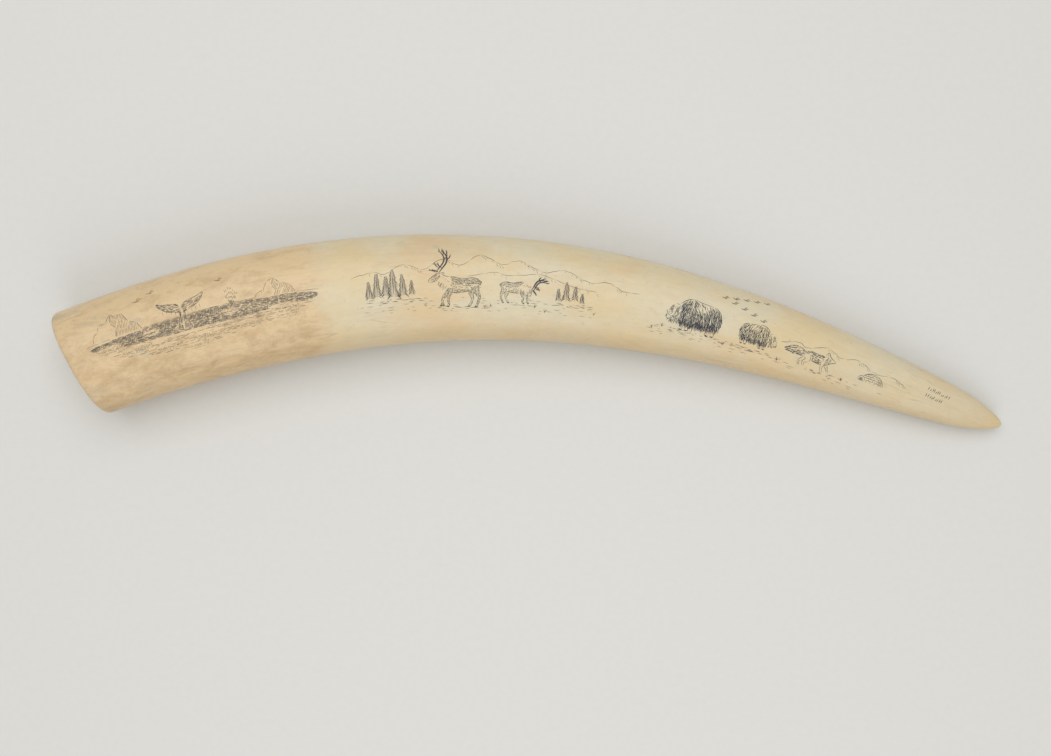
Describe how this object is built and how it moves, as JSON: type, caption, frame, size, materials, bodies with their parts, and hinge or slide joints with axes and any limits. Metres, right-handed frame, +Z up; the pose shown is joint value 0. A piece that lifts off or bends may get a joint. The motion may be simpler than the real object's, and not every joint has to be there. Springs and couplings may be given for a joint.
{
  "type": "scrimshaw walrus tusk",
  "caption": "Curved, tapering tusk of polished ivory, sawn flat at the butt and blunt at the tip, lying on its side with engraved and inked pictures along its upper face.",
  "frame": {"origin": "on the surface that the tusk lies on, under the middle of its outline seen from above", "axes": "+X along the tusk from the sawn butt to the tip, +Y towards the outside of the bow, +Z up through the tusk's thickness to the engraved face"},
  "size_m": [0.567, 0.116, 0.0499],
  "materials": {
    "ivory": "hand-polished cream ivory with a soft shine",
    "ink": "blue-black ink rubbed into the engraved lines"
  },
  "bodies": {
    "root": {"tusk": "ivory"}
  },
  "joints": []
}
